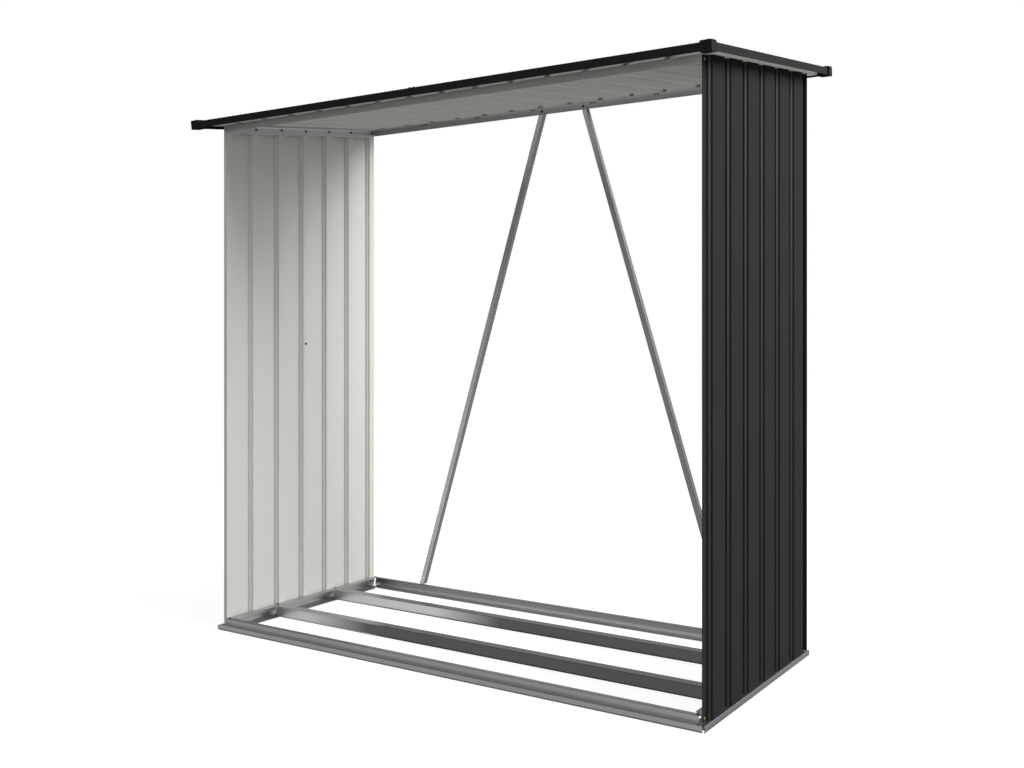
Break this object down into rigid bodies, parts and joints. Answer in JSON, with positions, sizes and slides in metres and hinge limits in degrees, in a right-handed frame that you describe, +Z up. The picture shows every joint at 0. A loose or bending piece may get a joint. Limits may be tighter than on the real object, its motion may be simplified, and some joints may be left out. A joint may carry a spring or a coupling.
{
  "type": "open metal log store",
  "caption": "Open-fronted metal log store with ribbed side walls and a sloping ribbed roof on a galvanised frame with floor rails and rear braces.",
  "frame": {"origin": "on the ground, under the middle of the roof's outline", "axes": "+Z up, front towards -Y, +X to the right as seen from the front"},
  "size_m": [1.8306, 0.9355, 1.8031],
  "materials": {
    "galvanised_steel": "bright galvanised, satin",
    "ribbed_sheet": "anthracite coating outside, pale grey-green backing inside",
    "edge_trim": "anthracite satin coating",
    "corner_cap": "moulded black plastic"
  },
  "bodies": {
    "root": {"back_brace_left": "galvanised_steel", "back_brace_right": "galvanised_steel", "back_trim_left": "edge_trim", "back_trim_right": "edge_trim", "base_back_rail": "galvanised_steel", "base_front_rail": "galvanised_steel", "base_left_rail": "galvanised_steel", "base_right_rail": "galvanised_steel", "corner_cap_back_left": "corner_cap", "corner_cap_back_right": "corner_cap", "corner_cap_front_left": "corner_cap", "corner_cap_front_right": "corner_cap", "floor_rail_back": "galvanised_steel", "floor_rail_front": "galvanised_steel", "front_trim_left": "edge_trim", "front_trim_right": "edge_trim", "left_trim": "edge_trim", "left_wall_back_sheet": "ribbed_sheet", "left_wall_front_sheet": "ribbed_sheet", "right_trim": "edge_trim", "right_wall_back_sheet": "ribbed_sheet", "right_wall_front_sheet": "ribbed_sheet", "roof_sheet_1": "ribbed_sheet", "roof_sheet_2": "ribbed_sheet", "roof_sheet_3": "ribbed_sheet", "roof_sheet_4": "ribbed_sheet", "roof_sheet_5": "ribbed_sheet", "top_back_rail": "galvanised_steel", "top_front_rail": "galvanised_steel", "top_left_rail": "galvanised_steel", "top_right_rail": "galvanised_steel"}
  },
  "joints": []
}
